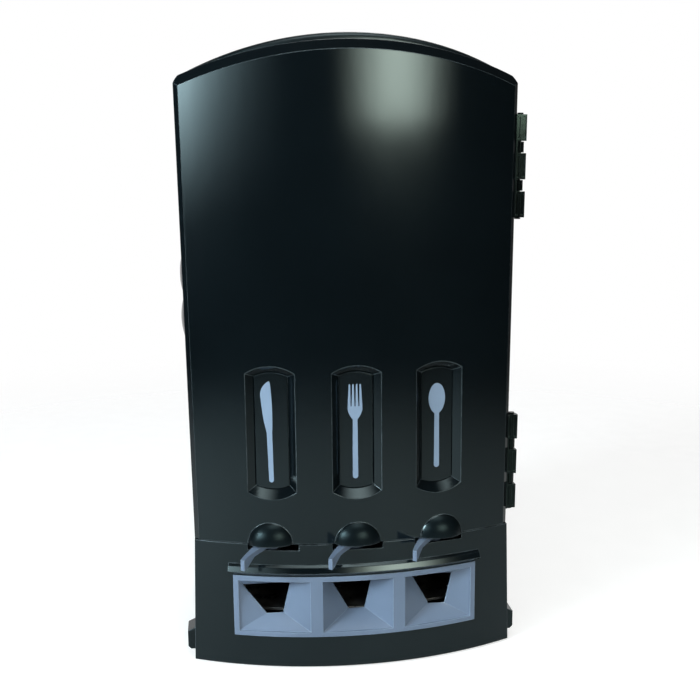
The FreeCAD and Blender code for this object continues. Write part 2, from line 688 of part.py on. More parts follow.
def spoon_symbol():
    """Table spoon: grip and an oval bowl."""
    axis, neck = "spoon_axis", "spoon_neck_width / 2"
    middle = "spoon_high - spoon_bowl_length / 2"
    half = "spoon_bowl_width / 2"
    across, up = f"{half} * sqrt(1 / 2)", "spoon_bowl_length / 2 * sqrt(1 / 2)"
    low = f"{middle} - spoon_bowl_length / 2"
    bowl = [(f"{axis} - {neck}", low), (f"{axis} + {neck}", low, "spoon_side_bow / 2"),
            (f"{axis} + {across}", f"{middle} - {up}", "spoon_side_bow"),
            (f"{axis} + {half}", middle, "spoon_side_bow"),
            (f"{axis} + {across}", f"{middle} + {up}", "spoon_crown_bow"),
            (axis, "spoon_high", "spoon_crown_bow"),
            (f"{axis} - {across}", f"{middle} + {up}", "spoon_side_bow"),
            (f"{axis} - {half}", middle, "spoon_side_bow"),
            (f"{axis} - {across}", f"{middle} - {up}", "spoon_side_bow / 2")]
    grip = handle("spoon_handle", axis, "spoon_low", "spoon_grip_width", "spoon_neck_width",
                  f"{low} + {neck}")
    return join("spoon_shape", grip, symbol_prism("spoon_bowl", bowl))


def symbols():
    """The three function symbols on their plates."""
    makers = {"knife": knife_symbol, "fork": fork_symbol, "spoon": spoon_symbol}
    for column, (_, _, turn) in COLUMNS.items():
        shape = makers[column]()
        as_node(place(shape, "0", "arc_y", "0", turn), f"symbol_{column}")


# Housings

def back_housing():
    """Sides, roof and back in one shell, with a rim behind the door."""
    view = prism("house_view", "XZ", upper_outline("house_crown", "0", "seam_height"),
                 "-back_y", "back_y")
    block = overlap("house_block", view, bowed("house_front", "house_radius"))
    hollow = prism("house_hollow", "XZ", upper_outline("house_crown", "wall", "-overrun"),
                   "-body_depth", "back_y - wall")
    shell = cut("house_shell", block, hollow)
    rim_view = prism("rim_view", "XZ", upper_outline("house_crown", "0", "seam_height"),
                     "-back_y", "0")
    rim_solid = overlap("rim_solid", rim_view, bowed("rim_front", "house_radius"))
    rim_inner = prism("rim_inner", "XZ", upper_outline("house_crown", "rim_height", "-overrun"),
                      "-body_depth", "overrun")
    rim = cut("rim", rim_solid, bowed("rim_back", "house_radius - rim_depth"), rim_inner)
    rounded = rounded_rim(join("house_with_rim", shell, rim))
    holes = [rod(f"wall_hole_{x}_{z}", "Y", (f"{side} * wall_hole_x", "0", height),
                 "wall_hole_radius", "back_y + overrun")
             for x, side in enumerate((-1, 1))
             for z, height in enumerate(("wall_hole_low", "wall_hole_high"))]
    notch = box("roof_notch", ("roof_notch_x - roof_notch_width / 2", "-body_depth",
                               "corner_height - overrun"),
                ("roof_notch_x + roof_notch_width / 2", "roof_notch_front + roof_notch_length",
                 "house_crown"))
    return rounded, holes, notch


def rounded_rim(base):
    """Housing with the front edge of its roof rounded over."""
    doc.recompute()
    top, _ = front_edges(base.Shape, value("house_radius"))
    outer = [index for index in top
             if base.Shape.Edges[index - 1].BoundBox.ZMax > value("house_crown - slip")]
    solid = doc.addObject("Part::Fillet", "house_rounded")
    solid.Base = base
    solid.Edges = [(index, value("rim_round"), value("rim_round")) for index in outer]
    return solid


def finished_housing():
    """Back housing with its holes for the lock, the latch and wall screws."""
    rounded, holes, notch = back_housing()
    side = "-body_width"
    lock_hole = rod("lock_hole", "X", (side, "side_lock_y", "lock_z"), "core_radius + slip",
                    "body_width / 2 + waist_half")
    latch_hole = rod("latch_hole", "X", (side, "side_lock_y", "latch_z"), "spindle_radius + slip",
                     "body_width / 2 + waist_half")
    notch_top = overlap("roof_notch_cut", notch, notch_shape())
    return as_node(cut("back_housing", rounded, *holes, *hinge_holes("body"), lock_hole,
                       latch_hole, notch_top, *corner_cuts("house")), "back_housing")


def notch_shape():
    """Band under the roof's outline, as deep as the roof's notch."""
    outer = prism("notch_outer", "XZ", upper_outline("house_crown", "-overrun", "seam_height"),
                  "-body_depth", "back_y")
    inner = prism("notch_inner", "XZ", upper_outline("house_crown", "roof_notch_depth",
                                                     "seam_height - overrun"),
                  "-body_depth - overrun", "back_y + overrun")
    return cut("notch_band", outer, inner)


def base_housing():
    """Base walls with lever notches, brow and chute cut-out."""
    view = prism("base_view", "XZ", lower_outline(), "-back_y", "back_y")
    block = overlap("base_block", view, bowed("base_face", "front_radius"))
    hollow_view = prism("base_hollow_view", "XZ",
                        lower_outline("wall", "base_bottom - overrun", "seam_height + overrun"),
                        "-back_y", "back_y - wall")
    hollow = overlap("base_hollow", hollow_view, bowed("base_inner", "front_radius - wall"))
    notches = [box(f"lever_notch_{column}", (f"{x} - notch_width / 2", "-body_depth",
                                             "seam_height - notch_depth"),
                   (f"{x} + notch_width / 2", f"({face_y}) + pivot_setback",
                    "seam_height + overrun"))
               for column, (x, face_y, _) in COLUMNS.items()]
    window = box("chute_window", ("-(bezel_half_width - bezel_lap)", "-body_depth",
                                  "bezel_low + bezel_lap"),
                 ("bezel_half_width - bezel_lap", "0", "bezel_high - bezel_lap"))
    return as_node(cut("base_housing", block_with_brow(block), hollow,
                       window, *notches), "base_housing")


def block_with_brow(block):
    """Base block with the rounded brow that shades the chutes."""
    sketch = doc.addObject("Sketcher::SketchObject", "brow_section")
    sketch.Placement = FreeCAD.Placement(Vector(), TURN["YZ"])
    inner = "-front_radius + wall / 2"
    draw(sketch, [(inner, "brow_low"), ("-front_radius - brow_reach / 2", "brow_low"),
                  ("-front_radius - brow_reach", "brow_low + brow_reach / 2"),
                  ("-front_radius - brow_reach / 2", "brow_high - brow_reach / 2"),
                  ("-front_radius", "brow_high"), (inner, "brow_high")])
    ring = doc.addObject("Part::Revolution", "brow")
    ring.Source = sketch
    ring.Axis = AXES["Z"]
    ring.Solid = True
    ring.Symmetric = True
    bind(ring, {"Angle": "2 * brow_half_angle"})
    place(ring, "0", "arc_y", "0")
    return join("base_with_brow", block, ring)


def base_plate():
    """Floor of the base, inside its walls."""
    view = prism("floor_view", "XZ", lower_outline("wall", "base_bottom", "plate_floor"),
                 "-back_y", "back_y - wall")
    flared = overlap("floor_flared", view, bowed("floor_front", "front_radius - wall"))
    holes = [rod(f"floor_hole_{side}_{row}", "Z", (f"{side} * post_x", y, "0"),
                 "screw_radius", "plate_floor")
             for side in (-1, 1) for row, y in POST_ROWS]
    return as_node(cut("base_plate", flared, *holes), "base_plate")


# Chute bezel

def bowed_y(x):
    """Distance of the bowed face in front of the middle plane, at a place across."""
    return value("arc_y") - math.sqrt(value("front_radius") ** 2 - x ** 2)


def funnel_wires(column, x, wall):
    """Front and rear outlines of a funnel, with its corners moved out by a wall."""
    high_left = "knife_mouth_left" if column == "knife" else "mouth_high_left"
    half = value("recess_width") / 2 + wall
    low, high = value("recess_low") - wall, value("recess_high") + wall
    front = [Vector(x + side * half, bowed_y(x + side * value("recess_width") / 2), z)
             for side, z in ((-1, low), (1, low), (1, high), (-1, high))]
    rear_y = value("mouth_plane")
    low, high = value("mouth_low") - wall, value("mouth_high") + wall
    rear = [Vector(x + across, rear_y, z) for across, z in (
        (-value("mouth_low_left") - wall, low), (value("mouth_low_right") + wall, low),
        (value("mouth_high_right") + wall, high), (-value(high_left) - wall, high))]
    return [Part.makePolygon(points + points[:1]) for points in (front, rear)]


def drawn_out(wire, along):
    """Prism on a flat wire."""
    return Part.Face(wire).extrude(along)


def chute_bezel():
    """Bowed frame and three funnels, moulded as one."""
    half = value("bezel_half_width")
    radius = value("front_radius") + value("bezel_proud")
    centre = Vector(0, value("arc_y"), value("bezel_low"))
    height = value("bezel_high") - value("bezel_low")
    ring = Part.makeCylinder(radius, height, centre).cut(
        Part.makeCylinder(value("front_radius"), height, centre))
    reach = value("body_depth")
    frame = ring.common(Part.makeBox(2 * half, reach, height, Vector(-half, -reach, centre.z)))
    outside, inside = [], []
    overrun = Vector(0, value("overrun"), 0)
    for column, (x, _, _) in COLUMNS.items():
        for wall, group in ((value("funnel_wall"), outside), (0, inside)):
            front, rear = funnel_wires(column, value(x), wall)
            group.append(Part.makeLoft([front, rear], True, True))
            group.append(drawn_out(front, -overrun))
            if group is inside:
                group.append(drawn_out(rear, overrun))
    behind = Part.makeCylinder(radius, height, centre)
    funnels = outside[0].multiFuse(outside[1:]).common(behind)
    shape = frame.fuse(funnels)
    for tool in inside:
        shape = shape.cut(tool)
    bezel = doc.addObject("Part::Feature", "chute_bezel")
    bezel.Shape = shape.removeSplitter()
    return as_node(bezel, "chute_bezel")


# Feed plate, posts and drive deck

def feed_plate():
    """Floor that the cutlery stacks stand on."""
    view = prism("feed_view", "XZ",
                 rectangle("-feed_half_width", "feed_top - feed_thickness",
                           "feed_half_width", "feed_top"), "-back_y", "feed_back")
    curve = bowed("feed_front", "front_radius - funnel_depth - funnel_wall - feed_margin")
    return as_node(overlap("feed_plate", view, curve), "feed_plate")


def feed_plate_posts():
    """Four posts between the base plate and the feed plate."""
    posts, holes = [], []
    for side in (-1, 1):
        for row, y in POST_ROWS:
            foot = (f"{side} * post_x", y, "plate_floor")
            posts.append(rod(f"feed_post_{side}_{row}", "Z", foot, "post_radius",
                             "feed_top - feed_thickness - plate_floor"))
            holes.append(rod(f"post_hole_{side}_{row}", "Z", foot, "screw_radius",
                             "screw_grip"))
    return as_node(cut("feed_plate_posts", join("feed_posts", *posts), *holes),
                   "feed_plate_posts")


def drive_deck():
    """Shelf on two legs, with a boss and hole for each lever pin."""
    under = "deck_top - deck_thickness"
    view = prism("deck_view", "XZ", rectangle("-deck_half_width", under, "deck_half_width",
                                              "deck_top"), "-back_y", "deck_back")
    shelf = overlap("deck_shelf", view, bowed("deck_front", "front_radius - wall - deck_margin"))
    legs = []
    for side in (-1, 1):
        near, far = f"{side} * (deck_half_width - deck_leg)", f"{side} * deck_half_width"
        low, high = (far, near) if side < 0 else (near, far)
        legs.append(box(f"deck_leg_{side}", (low, "deck_back - 2 * deck_leg", "feed_top"),
                        (high, "deck_back", under)))
    bosses, holes = [], []
    for column, (x, face_y, _) in COLUMNS.items():
        centre = (x, f"({face_y}) + pivot_setback", under)
        bosses.append(rod(f"deck_boss_{column}", "Z", centre, "boss_radius",
                          f"hub_low - slip - ({under})"))
        hole = (centre[0], centre[1], f"{under} - overrun")
        holes.append(rod(f"deck_hole_{column}", "Z", hole, "pin_radius", "3 * overrun"))
    return as_node(cut("drive_deck", join("deck_full", shelf, *legs, *bosses), *holes),
                   "drive_deck")


# Cutlery columns

def magazine(column, x):
    """U-shaped column, open to the front between two lips."""
    body = new_body(f"magazine_{column}")
    half, wall = "magazine_half_width", "magazine_wall"
    front, back = "magazine_front", "magazine_back"
    pad(body, "XY", rectangle(f"-{half}", front, half, back), "feed_top", "magazine_top")
    pocket(body, "XY", rectangle(f"-({half} - {wall})", f"{front} + {wall}",
                                 f"{half} - {wall}", f"{back} - {wall}"),
           "feed_top", "magazine_top")
    pocket(body, "XZ", rectangle(f"-({half} - lip_width)", "feed_top",
                                 f"{half} - lip_width", "magazine_top"),
           f"{front}", f"{front} + {wall}")
    pocket(body, "XZ", rectangle(f"-({half} - {wall})", "feed_top", f"{half} - {wall}",
                                 "feed_top + exit_height"), front, f"{front} + {wall}")
    pocket(body, "XZ", rectangle("-pusher_slot_width / 2", "feed_top", "pusher_slot_width / 2",
                                 "feed_top + pusher_slot_height"),
           f"{back} - 2 * {wall}", f"{back}")
    for height in ("lower_cross_z", "upper_cross_z"):
        bore(body, "XZ", ("0", height), "screw_radius", f"{back} - 2 * {wall}", back)
    place(body, x)
    return as_node(body, f"magazine_{column}")


def cross_rail(name, height):
    """Hat-section rail between the magazines and the back wall."""
    body = new_body(name)
    front, back = "magazine_back", "back_y - wall"
    low, high = f"{height} - cross_height / 2", f"{height} + cross_height / 2"
    thin = "cross_wall"
    outline = [(front, f"{low} + cross_height / 4"), (f"{back} - {thin}",
                                                      f"{low} + cross_height / 4"),
               (f"{back} - {thin}", low), (back, low), (back, f"{low} + cross_height / 4 + {thin}"),
               (f"{front} + {thin}", f"{low} + cross_height / 4 + {thin}"),
               (f"{front} + {thin}", f"{high} - cross_height / 4 - {thin}"),
               (back, f"{high} - cross_height / 4 - {thin}"), (back, high),
               (f"{back} - {thin}", high), (f"{back} - {thin}", f"{high} - cross_height / 4"),
               (front, f"{high} - cross_height / 4")]
    pad(body, "YZ", outline, "-cross_half_width", "cross_half_width")
    for x, _, _ in COLUMNS.values():
        bore(body, "XZ", (x, height), "screw_radius", front, f"{front} + 2 * {thin}")
    return as_node(body, name)


# Levers

def lever_outline():
    """Arm seen from above, pointing at -Y: broad at the hub, bowed towards -X."""
    root, tip = "lever_root_width / 2", "lever_tip_width / 2"
    return [(f"-{root}", "0", "lever_left_bow"), (f"-{tip}", "-lever_reach"),
            (tip, "-lever_reach", "-lever_right_bow"), (root, "0")]


def lever_arm(name):
    """Flat arm with a taller finger tab at its tip."""
    plan = prism(f"{name}_plan", "XY", lever_outline(), "lever_top - lever_tab_height",
                 "lever_top")
    side = prism(f"{name}_side", "YZ",
                 [("-lever_reach", "lever_top - lever_tab_height"),
                  ("-lever_reach + lever_tab_length / 3", "lever_top - lever_tab_height"),
                  ("-lever_reach + lever_tab_length", "lever_top - lever_thickness"),
                  ("0", "lever_top - lever_thickness"), ("0", "lever_top"),
                  ("-lever_reach", "lever_top")], "-lever_reach", "lever_reach")
    return overlap(f"{name}_arm", plan, side)


def crank_plate(name):
    """Short crank at the foot of the hub, pointing at -X."""
    return prism(f"{name}_crank", "XY",
                 [("-crank_radius", "crank_half_width", "crank_half_width * round_share"),
                  ("-crank_radius", "-crank_half_width"), ("0", "-crank_half_width"),
                  ("0", "crank_half_width")], "hub_low", "hub_low + crank_thickness")


def lever(column, x, face_y):
    """Finger lever: arm, hub, crank and crank pin."""
    name = f"lever_{column}"
    arm = lever_arm(name)
    bind(arm, {"Placement.Rotation.Angle": "-lever_angle"})
    crank = crank_plate(name)
    crank_pin = rod(f"{name}_crank_pin", "Z", ("-crank_radius", "0", "slide_low + slip"),
                    "crank_pin_radius", "hub_low - slide_low")
    driven = join(f"{name}_driver", crank, crank_pin)
    bind(driven, {"Placement.Rotation.Angle": "-half_travel"})
    hub = rod(f"{name}_hub", "Z", ("0", "0", "hub_low"), "hub_radius", "lever_top - hub_low")
    hole = rod(f"{name}_hole", "Z", ("0", "0", "0"), "bore_radius", "clear_height")
    whole = cut(name, join(f"{name}_full", arm, driven, hub), hole)
    place(whole, x, f"({face_y}) + pivot_setback")
    return as_node(whole, name)


def lever_pin(column, x, face_y):
    """Headed steel pin of a lever."""
    name = f"lever_pin_{column}"
    shank = rod(f"{name}_shank", "Z", ("0", "0", "deck_top - deck_thickness"), "pin_radius",
                "lever_top + slip - deck_top + deck_thickness")
    head = rod(f"{name}_head", "Z", ("0", "0", "lever_top + slip"), "pin_head_radius",
               "pin_head_height")
    return as_node(place(join(name, shank, head), x, f"({face_y}) + pivot_setback"), name)


def lever_spring(column, x, face_y):
    """Coiled return spring round a lever's hub."""
    turns, pitch = value("spring_turns"), value("spring_pitch")
    radius, wire = value("spring_radius"), value("spring_wire")
    coil = Part.makeHelix(pitch, turns * pitch, radius)
    ring = Part.Wire(Part.makeCircle(wire, Vector(radius, 0, 0), Vector(0, 1, 0)))
    solid = Part.Wire(coil).makePipeShell([ring], True, True)
    spring = doc.addObject("Part::Feature", f"lever_spring_{column}")
    spring.Shape = solid
    low = value("hub_low + crank_thickness + spring_wire")
    spring.Placement = FreeCAD.Placement(
        Vector(value(x), value(face_y) + value("pivot_setback"), low), FreeCAD.Rotation())
    return as_node(spring, f"lever_spring_{column}")


# Slides

def slide(column, x, face_y):
    """Ejector: yoke for the crank, side rail, rear arm and pusher foot.

    Its front is bowed, so that it stays off the base's wall at the end of its stroke.
    """
    body = new_body(f"slide_{column}_block")
    yoke_y = f"({face_y}) + pivot_setback + crank_y"
    low, rail_top = "slide_low", "slide_low + rail_height"
    yoke_front, yoke_back = f"{yoke_y} - yoke_half_depth", f"{yoke_y} + yoke_half_depth"
    pad(body, "XY", rectangle("-rail_left", yoke_front, "-yoke_right", yoke_back),
        low, f"{low} + yoke_thickness")
    pad(body, "XY", rectangle("-rail_left", yoke_front, "-rail_right", "arm_back"),
        low, rail_top)
    pad(body, "XY", rectangle("-rail_left", "arm_front", "leg_half_width", "arm_back"),
        low, rail_top)
    pad(body, "XY", rectangle("-leg_half_width", "arm_front", "leg_half_width", "arm_back"),
        "foot_low", rail_top)
    pad(body, "XY", rectangle("-foot_half_width", "foot_front", "foot_half_width", "arm_front"),
        "foot_low", "foot_high")
    slot_half = "crank_pin_radius + slot_slack"
    pocket(body, "XY", rectangle("-slot_left", f"{yoke_y} - ({slot_half})", "-slot_right",
                                 f"{yoke_y} + {slot_half}"), low, f"{low} + yoke_thickness")
    place(body, x)
    reach = rod(f"slide_{column}_reach", "Z", ("0", "arc_y + slide_stroke", "-overrun"),
                "front_radius - wall - deck_margin", "clear_height + 2 * overrun")
    return as_node(overlap(f"slide_{column}", body, reach), f"slide_{column}")


def slide_guide(column, x):
    """Clip on a magazine's side that wraps round a slide's rail."""
    body = new_body(f"slide_guide_{column}")
    inner, outer = "-magazine_half_width", "-rail_left - slip - guide_wall"
    low, high = "slide_low - slip - guide_wall", "slide_low + rail_height + slip + guide_wall"
    pad(body, "XZ", rectangle(outer, low, inner, high), "guide_front", "guide_back")
    pocket(body, "XZ", rectangle("-rail_left - slip", "slide_low - slip", "-rail_right + slip",
                                 "slide_low + rail_height + slip"), "guide_front", "guide_back")
    pocket(body, "XZ", rectangle("-rail_right + slip + guide_wall", f"{low} + guide_wall",
                                 f"{inner} - guide_wall", f"{high} - guide_wall"),
           "guide_front", "guide_back")
    place(body, x)
    return as_node(body, f"slide_guide_{column}")


# Hinges, drawn about their own upright axis and then leant with the side wall

# Each hinge's name and its lower end
HINGES = (("upper", "upper_hinge_low"), ("lower", "lower_hinge_low"))


def lean(thing, low):
    """Set a part drawn about the hinge axis against the leaning right side wall.

    The first placement only gives the turn its axis: its angle is then tied.
    """
    thing.Placement = FreeCAD.Placement(Vector(), FreeCAD.Rotation(AXES["Y"], 1))
    return place(thing, f"{upper_half(low)} + hinge_offset", "hinge_axis_y", low,
                 "atan(side_lean)")


def pin_hole(name, radius):
    """Hole for the pin through a whole hinge."""
    return rod(name, "Z", ("0", "0", "-overrun"), radius, "hinge_length + 2 * overrun")


def screw_spots(leaf):
    """Across and upright places of a leaf's two screws, from the axis and hinge end."""
    if leaf == "body":
        across = "body_leaf_reach - hinge_screw_inset / 2"
        return [(across, "hinge_screw_inset"), (across, "hinge_length - hinge_screw_inset")]
    middle = "knuckle_length + knuckle_gap / 2"
    across = "hinge_screw_edge - door_leaf_reach"
    return [(across, middle), (across, f"hinge_length - ({middle})")]


def leaf_screws(name, leaf, radius, start, length):
    """Rods at a leaf's screws, from a depth past the wall's outer face."""
    return [rod(f"{name}_{index}", "X", (f"{start} - hinge_offset", across, height),
                radius, length)
            for index, (across, height) in enumerate(screw_spots(leaf))]


def door_leaf(level, low):
    """Leaf on the door's side with three framed knuckles."""
    name = f"{level}_hinge_door_leaf"
    parts = [box(f"{name}_plate", ("-hinge_offset", "-door_leaf_reach", "0"),
                 ("leaf_thickness - hinge_offset", "-slip", "hinge_length"))]
    frames = []
    for index in range(3):
        start = f"{index} * (knuckle_length + knuckle_gap)"
        end = f"{start} + knuckle_length"
        parts.append(rod(f"{name}_knuckle_{index}", "Z", ("0", "0", start), "knuckle_radius",
                         "knuckle_length"))
        parts.append(box(f"{name}_block_{index}", ("-hinge_offset", "-knuckle_radius", start),
                         ("knuckle_radius", "-slip", end)))
        for side, left in (("left", "-frame_middle / 2 - frame_width"),
                           ("right", "frame_middle / 2")):
            frames.append(box(f"{name}_frame_{side}_{index}",
                              (left, "-2 * knuckle_radius", f"{start} + frame_border"),
                              (f"{left} + frame_width", "frame_depth - knuckle_radius",
                               f"{end} - frame_border")))
    seats = leaf_screws(f"{name}_seat", "door", "hinge_head_radius", "0", "leaf_thickness")
    leaf = cut(name, join(f"{name}_full", *parts), pin_hole(f"{name}_bore", "hinge_bore"),
               *frames, *seats)
    return as_node(lean(leaf, low), name)


def body_leaf(level, low):
    """Leaf on the housing's side with two lugs between the knuckles."""
    name = f"{level}_hinge_body_leaf"
    parts = [box(f"{name}_plate", ("-hinge_offset", "body_leaf_start", "0"),
                 ("leaf_thickness - hinge_offset", "body_leaf_reach", "hinge_length"))]
    for index in (1, 2):
        start = f"{index} * knuckle_length + {index - 1} * knuckle_gap + lug_slack"
        height = "knuckle_gap - 2 * lug_slack"
        parts.append(rod(f"{name}_lug_{index}", "Z", ("0", "0", start), "lug_radius", height))
        parts.append(box(f"{name}_web_{index}", ("slip - hinge_offset", "slip", start),
                         ("lug_reach", "lug_radius", f"{start} + {height}")))
        parts.append(box(f"{name}_arm_{index}", ("slip - hinge_offset", "slip", start),
                         ("leaf_thickness - hinge_offset", "body_leaf_start",
                          f"{start} + {height}")))
    seats = leaf_screws(f"{name}_seat", "body", "hinge_head_radius", "0", "leaf_thickness")
    leaf = cut(name, join(f"{name}_full", *parts),
               pin_hole(f"{name}_bore", "hinge_pin_radius"), *seats)
    return as_node(lean(leaf, low), name)


def hinge_pin(level, low):
    """Pin with a head at both ends."""
    name = f"{level}_hinge_pin"
    parts = [rod(f"{name}_shank", "Z", ("0", "0", "-slip"), "hinge_pin_radius",
                 "hinge_length + 2 * slip")]
    for index, start in enumerate(("-slip - hinge_pin_head_height", "hinge_length + slip")):
        parts.append(rod(f"{name}_head_{index}", "Z", ("0", "0", start), "hinge_pin_head",
                         "hinge_pin_head_height"))
    return as_node(lean(join(name, *parts), low), name)


def hinge_screws(leaf):
    """Flush screws of both hinges that hold one kind of leaf."""
    screws = []
    for level, low in HINGES:
        name = f"{level}_{leaf}_screw"
        heads = leaf_screws(f"{name}_head", leaf, "hinge_head_radius", "0", "leaf_thickness")
        shanks = leaf_screws(f"{name}_shank", leaf, "screw_radius", "-wall", "wall")
        screws.append(lean(join(name, *heads, *shanks), low))
    return as_node(join(f"hinge_screws_{leaf}", *screws), f"hinge_screws_{leaf}")


def hinge_holes(leaf):
    """Holes in a side wall for one kind of leaf's screws."""
    return [lean(join(f"{level}_{leaf}_holes",
                      *leaf_screws(f"{level}_{leaf}_hole", leaf, "screw_radius",
                                   "-overrun", "2 * overrun")), low)
            for level, low in HINGES]


# Lock and latch on the left side

def side_wall_tool(name):
    """Everything between the leaning side walls' outer faces."""
    return prism(name, "XZ", upper_outline("house_crown", "0", "seam_height"),
                 "-body_depth", "body_depth")


def left_wall_x(height):
    """Outer face of the left side wall at a height."""
    return f"-{upper_half(height)}"


def dome(name, height, gap):
    """Lens-shaped cap on the left side wall, a gap away from it."""
    crest = f"{left_wall_x(height)} - ({gap}) - rosette_height"
    ball = doc.addObject("Part::Sphere", name + "_ball")
    bind(ball, {"Radius": "rosette_sphere"})
    place(ball, f"{crest} + rosette_sphere", "side_lock_y", height)
    slab = rod(name + "_slab", "X", (crest, "side_lock_y", height),
               "rosette_radius + overrun", "rosette_height")
    return overlap(name, ball, slab)


def cam(name, height):
    """Tongue on the inner end of a spindle, pointing forwards."""
    inner = f"{left_wall_x(height)} + core_inner"
    tongue = box(name + "_tongue", (inner, "side_lock_y - cam_length",
                                    f"{height} - cam_half_width"),
                 (f"{inner} + cam_thickness", "side_lock_y", f"{height} + cam_half_width"))
    eye = rod(name + "_eye", "X", (inner, "side_lock_y", height), "cam_half_width + slip",
              "cam_thickness")
    return as_node(join(name, tongue, eye), name)


def lock():
    """Rosette, turning core with a key slot, and cam."""
    height = "lock_z"
    wall_x = left_wall_x(height)
    hole = rod("rosette_hole", "X", (f"{wall_x} - 2 * overrun", "side_lock_y", height),
               "core_radius + bore_clearance", "3 * overrun")
    as_node(cut("lock_rosette", dome("rosette_dome", height, "0"), hole,
                side_wall_tool("rosette_seat")), "lock_rosette")
    face = f"{wall_x} - rosette_height + rosette_rim"
    core = rod("lock_core_rod", "X", (face, "side_lock_y", height), "core_radius",
               "core_inner + rosette_height - rosette_rim")
    slot = box("key_slot", (f"{face} - overrun", "side_lock_y - key_slot_width / 2",
                            f"{height} - key_slot_length / 2"),
               (f"{face} + key_slot_depth", "side_lock_y + key_slot_width / 2",
                f"{height} + key_slot_length / 2"))
    as_node(cut("lock_core", core, slot), "lock_core")
    cam("lock_cam", height)


def latch():
    """Turning knob with a coin slot, its spindle and cam."""
    height = "latch_z"
    wall_x = left_wall_x(height)
    gap = "slip + rosette_radius * abs(side_lean)"
    crest = f"{wall_x} - ({gap}) - rosette_height"
    slot = box("coin_slot", (f"{crest} - overrun", "side_lock_y - coin_slot_width / 2",
                             f"{height} - coin_slot_length / 2"),
               (f"{crest} + coin_slot_depth", "side_lock_y + coin_slot_width / 2",
                f"{height} + coin_slot_length / 2"))
    spindle = rod("knob_spindle", "X", (f"{wall_x} - slip - rosette_height / 2", "side_lock_y",
                                        height), "spindle_radius",
                  "core_inner + slip + rosette_height / 2")
    as_node(cut("latch_knob", join("knob_full", dome("knob_dome", height, gap), spindle), slot),
            "latch_knob")
    cam("latch_cam", height)


def strike_bracket():
    """Door's catch: a bar back into the housing for each cam, on a common plate."""
    inner = f"{left_wall_x('latch_z')} + core_inner + cam_thickness + 2 * slip"
    right = f"{inner} + strike_thickness"
    plate = box("strike_plate", ("-body_width", "strike_front", "latch_z"),
                (right, "strike_front + strike_thickness", "lock_z + lug_high"))
    inside = prism("strike_inside", "XZ", upper_outline("house_crown", "wall"),
                   "-body_depth", "0")
    parts = [overlap("strike_seat", plate, inside)]
    for tag, height in (("lock", "lock_z"), ("latch", "latch_z")):
        low, high = f"{height} + lug_low", f"{height} + lug_high"
        parts.append(box(f"strike_bar_{tag}", (inner, "strike_front", low),
                         (right, "lug_back", high)))
        parts.append(box(f"strike_lug_{tag}", (f"{inner} - cam_thickness - slip", "lug_front",
                                               low), (right, "lug_back", high)))
    return as_node(join("strike_bracket", *parts), "strike_bracket")


# Bumpers, mat and fasteners

def side_bumper(side):
    """Small block low on the base's side, sloped above and below."""
    tag = "left" if side < 0 else "right"
    name = f"side_bumper_{tag}"
    outer = "foot_half + bumper_reach"
    points = [("waist_half", "bumper_low"), (f"{outer} - bumper_bottom_slope", "bumper_low"),
              (outer, "bumper_low + bumper_bottom_slope"), (outer, "bumper_high"),
              ("waist_half", "bumper_high + bumper_top_slope")]
    if side < 0:
        points = [(f"-({u})", v) for u, v in reversed(points)]
    block = prism(f"{name}_block", "XZ", points, "bumper_front", "bumper_front + bumper_length")
    inside = prism(f"{name}_inside", "XZ", lower_outline("0", "0"), "-body_depth", "body_depth")
    return as_node(cut(name, block, inside), name)


def rubber_mat():
    """Non-slip mat under the base plate, bowed like the front."""
    view = prism("mat_view", "XZ", rectangle("-mat_half_width", "0", "mat_half_width",
                                             "base_bottom"), "-back_y", "mat_back")
    curve = bowed("mat_front", "front_radius - mat_margin")
    return as_node(overlap("rubber_mat", view, curve), "rubber_mat")


def rail_screw_rods(name, radius, start, length):
    """Rods through the magazines' back walls and the cross rails behind them."""
    return [rod(f"{name}_{column}_{row}", "Y", (x, start, height), radius, length)
            for column, (x, _, _) in COLUMNS.items()
            for row, height in (("lower", "lower_cross_z"), ("upper", "upper_cross_z"))]


def rail_screws():
    """Screws that hold each magazine to the two cross rails."""
    seat = "magazine_back - magazine_wall"
    heads = rail_screw_rods("rail_screw_head", "screw_head_radius",
                            f"{seat} - screw_head_height", "screw_head_height")
    shanks = rail_screw_rods("rail_screw_shank", "screw_radius", seat, "screw_grip")
    return as_node(join("rail_screws", *heads, *shanks), "rail_screws")


def base_screws():
    """Screws from below through the base plate into the posts."""
    parts = []
    for side in (-1, 1):
        for row, y in POST_ROWS:
            x = f"{side} * post_x"
            parts.append(rod(f"base_screw_head_{side}_{row}", "Z",
                             (x, y, "base_bottom - screw_head_height"), "screw_head_radius",
                             "screw_head_height"))
            parts.append(rod(f"base_screw_shank_{side}_{row}", "Z", (x, y, "base_bottom"),
                             "screw_radius", "base_plate_thickness + screw_grip"))
    return as_node(join("base_screws", *parts), "base_screws")


def check_and_write():
    """Stop on any failed object, then write each sub-part's file."""
    doc.recompute()
    failed = [thing.Name for thing in doc.Objects if {"Invalid", "Error"} & set(thing.State)]
    if failed:
        raise RuntimeError(f"objects that failed: {failed}")
    empty = [label for label, thing in nodes
             if thing.Shape.isNull() or not thing.Shape.isValid() or not thing.Shape.Solids]
    if empty:
        raise RuntimeError(f"nodes without a valid solid: {empty}")
    os.makedirs("parts", exist_ok=True)
    for label, thing in nodes:
        thing.Shape.exportStep(f"parts/{label}.step")
        print(f"{label}: {len(thing.Shape.Solids)} solids, {thing.Shape.Volume / 1000:.2f} cm3")


